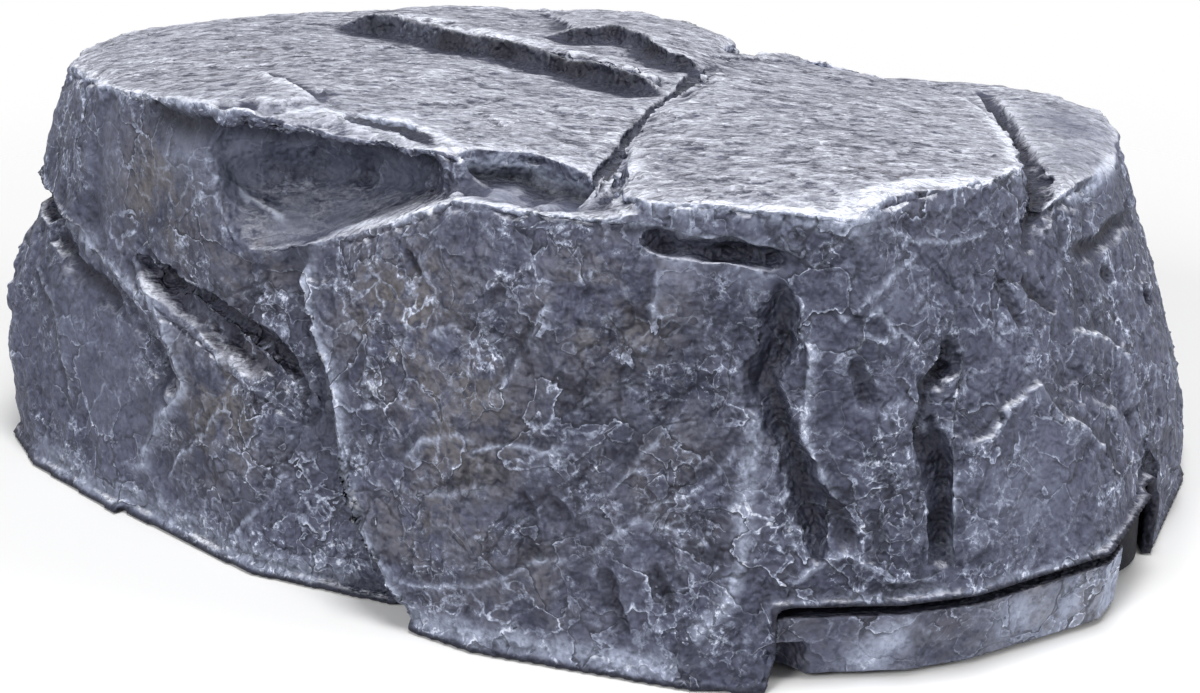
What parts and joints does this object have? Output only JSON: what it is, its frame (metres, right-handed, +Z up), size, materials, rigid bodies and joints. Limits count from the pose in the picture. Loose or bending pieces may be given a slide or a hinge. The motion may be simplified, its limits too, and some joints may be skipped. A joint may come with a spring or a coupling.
{
  "type": "hide-a-key garden rock",
  "caption": "Hollow cast-resin rock with a key tray that swings out of a cut-out in its skirt on a pivot screw, held shut by a magnet.",
  "frame": {"origin": "on the ground under the middle of the rock's overall box", "axes": "+X to the right along the front, +Y from the front to the back, +Z up"},
  "size_m": [0.2, 0.14, 0.071],
  "materials": {
    "painted_resin": "matt paint, dry-brushed pale lilac on its edges",
    "painted_resin_front": "matt paint, heavily dry-brushed",
    "base_plastic": "fine moulded texture",
    "tray_plastic": "fine moulded texture",
    "seal_foam": "closed-cell foam",
    "liner_foam": "closed-cell foam",
    "screw_steel": "stainless",
    "spring_steel": "stainless spring stock",
    "keeper_steel": "zinc plated",
    "magnet_nickel": "nickel plated",
    "insert_brass": "turned",
    "bush_brass": "turned",
    "washer_nylon": "natural nylon"
  },
  "bodies": {
    "rock": {"rock_shell": "painted_resin", "shell_inserts": "insert_brass", "base_plate": "base_plastic", "base_gasket": "seal_foam", "base_screws": "screw_steel", "pivot_insert": "insert_brass", "pivot_screw": "screw_steel", "lower_washer": "screw_steel", "spring_washer": "spring_steel", "thrust_washer": "washer_nylon", "catch_magnet": "magnet_nickel"},
    "tray": {"key_tray": "tray_plastic", "pivot_bush": "bush_brass", "tray_front": "painted_resin_front", "front_screws": "screw_steel", "tray_liner": "liner_foam", "catch_keeper": "keeper_steel"}
  },
  "joints": [
    {"name": "tray_swing", "type": "hinge", "parent": "rock", "child": "tray", "pos_m": [0.072, -0.024, 0.006], "axis": [0, 0, 1], "range_deg": [0, 62]}
  ]
}
